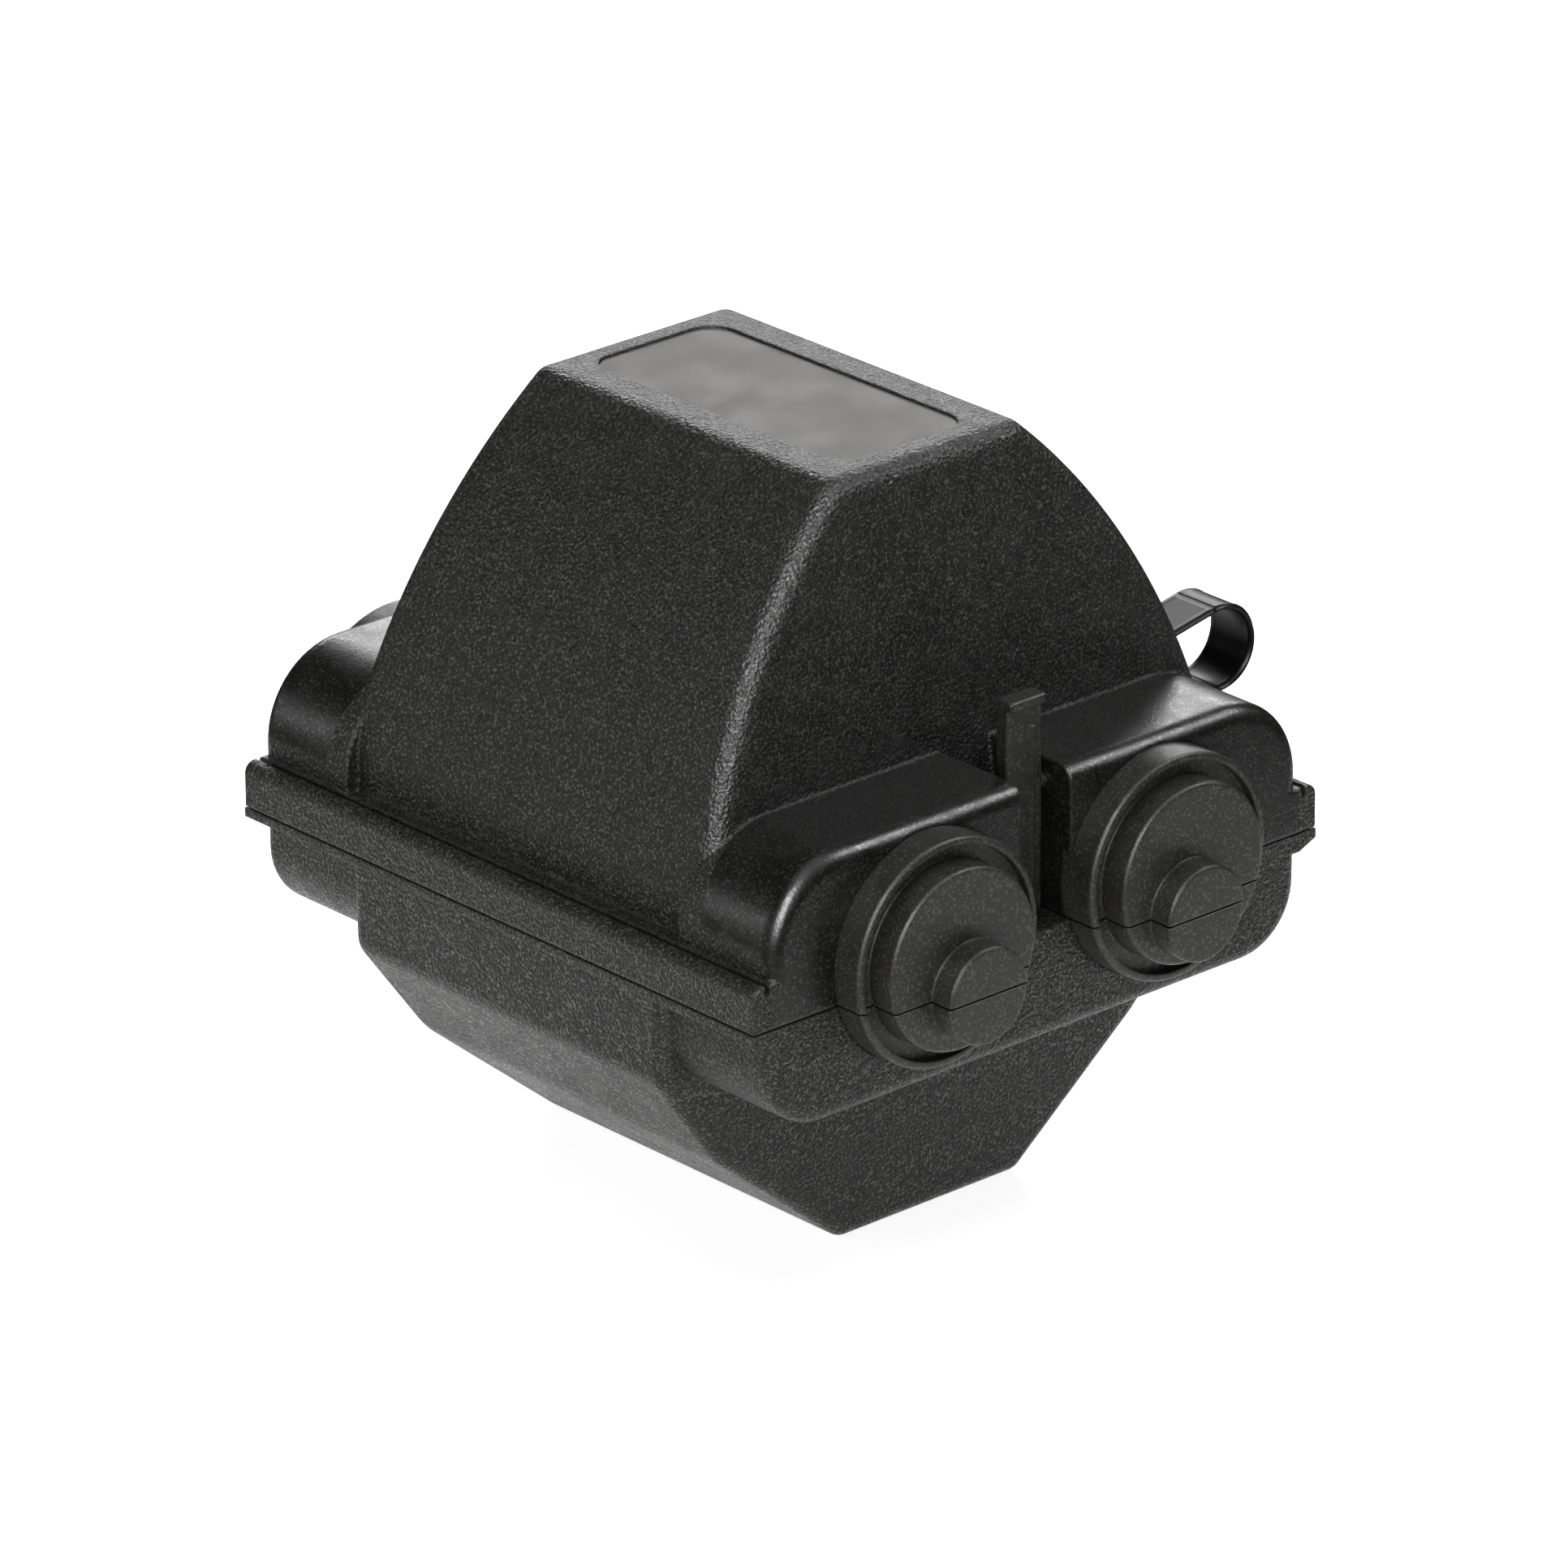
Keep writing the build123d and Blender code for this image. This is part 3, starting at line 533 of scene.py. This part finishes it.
GEL_VOXEL = 1.1 * MM
GEL_SINK = 0.30 * MM  # how far the gel's skin is drawn in, so that it stays clear of the shell
GEL_WAVE = 0.45 * MM
GEL_WAVE_SIZE = 7.0 * MM
GEL_WAVE_REACH = 1.5 * MM  # the waves die out this far from the open surface
GEL_SMOOTHING = 4
UPPER_GEL_LEVEL = 1.2 * MM  # the open surfaces, from the seam
LOWER_GEL_LEVEL = -2.5 * MM


def make_gel(node, body, open_height, open_side, material):
    """The poured gel: rounded by its own skin, and rippled where it is open, above (1) or below (-1)."""
    source = frame["nodes"][node]
    draft = bpy.data.objects.new(node + "_draft", source.data.copy())
    bpy.context.scene.collection.objects.link(draft)
    remesh = draft.modifiers.new("remesh", "REMESH")
    remesh.mode = "VOXEL"
    remesh.voxel_size = GEL_VOXEL
    smooth = draft.modifiers.new("smooth", "SMOOTH")
    smooth.factor = 0.5
    smooth.iterations = GEL_SMOOTHING
    ready = draft.evaluated_get(bpy.context.evaluated_depsgraph_get())
    mesh = bpy.data.meshes.new_from_object(ready)
    mesh.name = node + "_poured"
    bpy.data.objects.remove(draft)
    normals = [v.normal.copy() for v in mesh.vertices]
    for vertex, normal in zip(mesh.vertices, normals):
        wave = (noise.noise(vertex.co / GEL_WAVE_SIZE) + 1) / 2
        near = max(0.0, 1 - abs(vertex.co.z - open_height) / GEL_WAVE_REACH)
        level = near * max(0.0, normal.z * open_side)
        vertex.co -= normal * (GEL_SINK + GEL_WAVE * wave * level)
    mesh.update()
    piece = new_piece(node + "_poured", mesh, material)
    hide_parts(node)
    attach(piece, body)


# ---------------------------------------------------------------- studio
BACKDROP_LIGHT = 0.02
# Each softbox: azimuth and elevation in degrees, distance, width and height in metres, power in watts,
# and whether it lights the colour as well as the gloss
SOFTBOXES = {
    "overhead": (0, 84, 1.4, 1.3, 1.3, 14.0, True),
    "left_rear": (-132, 10, 1.1, 0.8, 0.30, 3.2, True),
    "camera_strip": (-44, 30, 1.0, 0.16, 0.75, 48.0, False),
    "right_edge": (58, 43, 1.0, 0.30, 0.30, 12.0, False),
    "rear": (138, 24, 1.2, 0.8, 0.35, 10.0, True),
}

FLOOR_RADIUS = 6.0
TABLE_RADIUS = 0.18
FLOOR_SEGMENTS = 96
FLOOR_GLOW = 0.85  # the floor is a lit white sheet
CAMERA_AZIMUTH = -41.97
CAMERA_ELEVATION = 23.04
CAMERA_DISTANCE = 1.3984
CAMERA_LENS = 257.2
CAMERA_ROLL = 0.25
CAMERA_TARGET = (0.66 * MM, 4.05 * MM)  # the view's centre, to the right of and above the seam's middle


def facing(azimuth, elevation):
    """The unit vector from the object towards a place seen at this azimuth and elevation."""
    a, e = math.radians(azimuth), math.radians(elevation)
    return Vector((math.sin(a) * math.cos(e), -math.cos(a) * math.cos(e), math.sin(e)))


def make_camera():
    """A long lens a little above the object, to the left of its front end."""
    back = facing(CAMERA_AZIMUTH, CAMERA_ELEVATION)
    a = math.radians(CAMERA_AZIMUTH)
    right = Vector((math.cos(a), math.sin(a), 0))
    up = back.cross(right)
    roll = math.radians(CAMERA_ROLL)
    x_axis = right * math.cos(roll) - up * math.sin(roll)
    y_axis = right * math.sin(roll) + up * math.cos(roll)
    middle = Vector((0, 0, SEAM_LEVEL)) + right * CAMERA_TARGET[0] + up * CAMERA_TARGET[1]
    data = bpy.data.cameras.new("camera")
    data.lens = CAMERA_LENS
    data.sensor_width = 36.0
    data.clip_start = 0.01
    data.clip_end = 50.0
    camera = bpy.data.objects.new("camera", data)
    bpy.context.scene.collection.objects.link(camera)
    turn = Matrix((x_axis, y_axis, back)).transposed().to_4x4()
    camera.matrix_world = Matrix.Translation(middle + back * CAMERA_DISTANCE) @ turn
    bpy.context.scene.camera = camera


def softbox(name, azimuth, elevation, distance, width, height, power, lights_colour):
    """A rectangular light that faces the middle of the object."""
    data = bpy.data.lights.new(name, "AREA")
    data.shape = "RECTANGLE"
    data.size = width
    data.size_y = height
    data.energy = power
    light = bpy.data.objects.new(name, data)
    bpy.context.scene.collection.objects.link(light)
    away = facing(azimuth, elevation)
    light.location = Vector((0, 0, SEAM_LEVEL)) + away * distance
    light.rotation_mode = "QUATERNION"
    light.rotation_quaternion = away.to_track_quat("Z", "Y")
    light.visible_diffuse = lights_colour


def floor_material():
    """Near-white paper that glows a little."""
    s = Surface("studio_floor")
    cloud = s.noise(0.5, detail=1.0)
    s.set(Base_Color=s.blend(cloud, (0.86, 0.86, 0.86), (0.88, 0.88, 0.88)), Roughness=0.9)
    s.set(Emission_Color=(1.0, 1.0, 1.0), Emission_Strength=FLOOR_GLOW)
    return s.material


def make_floor():
    """A lit white table. Only its middle shows in the object's gloss, as if the room beyond were dark."""
    material = floor_material()
    turns = [2 * math.pi * i / FLOOR_SEGMENTS for i in range(FLOOR_SEGMENTS)]
    circle = [(math.cos(turn), math.sin(turn)) for turn in turns]
    middle = [(x * TABLE_RADIUS, y * TABLE_RADIUS, 0) for x, y in circle]
    outside = [(x * FLOOR_RADIUS, y * FLOOR_RADIUS, 0) for x, y in circle]
    disc = tuple(range(FLOOR_SEGMENTS))
    ring = []
    for i in range(FLOOR_SEGMENTS):
        after = (i + 1) % FLOOR_SEGMENTS
        ring.append((i, i + FLOOR_SEGMENTS, after + FLOOR_SEGMENTS, after))
    shapes = {"floor_middle": (middle, [disc]), "floor_outside": (middle + outside, ring)}
    for name, (points, faces) in shapes.items():
        mesh = bpy.data.meshes.new(name)
        mesh.from_pydata(points, [], faces)
        piece = new_piece(name, mesh, material, smooth=False)
        piece.visible_glossy = name == "floor_middle"


def make_world():
    """A white backdrop that lights the object only weakly."""
    world = bpy.data.worlds.new("studio")
    bpy.context.scene.world = world
    world.use_nodes = True
    nodes = world.node_tree.nodes
    background = nodes["Background"]
    seen = nodes.new("ShaderNodeLightPath").outputs["Is Camera Ray"]
    strength = nodes.new("ShaderNodeMapRange")
    strength.inputs["To Min"].default_value = BACKDROP_LIGHT
    strength.inputs["To Max"].default_value = 1.0
    world.node_tree.links.new(seen, strength.inputs["Value"])
    world.node_tree.links.new(strength.outputs["Result"], background.inputs["Strength"])
    background.inputs["Color"].default_value = (1.0, 1.0, 1.0, 1.0)


def make_studio():
    make_camera()
    make_floor()
    make_world()
    for name, place in SOFTBOXES.items():
        softbox(name, *place)
    bpy.context.scene.view_settings.view_transform = "Standard"


# ---------------------------------------------------------------- the whole scene
materials = {
    "shell": shell_material(),
    "entry": smooth_black("entry_moulding", 0.34 * MM, 0.55, 0.34, 0.48),
    "latch": smooth_black("latch_moulding", 0.38 * MM, 0.45, 0.28, 0.42),
    "clamp": smooth_black("clamp_moulding", 0.50 * MM, 0.30, 0.38, 0.52),
    "label": label_material(),
    "strap": strap_material(),
    "seal": rubber_material(),
    "gel": gel_material(),
    "terminal_body": nylon_material(),
    "terminal_brass": metal_material("terminal_brass", BRASS, BRASS_STAIN, 0.20, 0.38, (2.0, 0.2, 2.0)),
    "screw_steel": metal_material("screw_steel", STEEL, STEEL_STAIN, 0.24, 0.42, (1.0, 1.0, 0.3)),
}
node_slots = {part["node"]: part["material_slot"] for part in frame["record"]["subparts"]}
paint(materials, node_slots)

make_strap(materials["strap"])
for side in ("left", "right"):
    make_seal(f"side_seal_{side}", materials["seal"])
make_gel("upper_gel", "lid", SEAM_LEVEL + UPPER_GEL_LEVEL, -1, materials["gel"])
make_gel("lower_gel", "base", SEAM_LEVEL + LOWER_GEL_LEVEL, 1, materials["gel"])

make_studio()
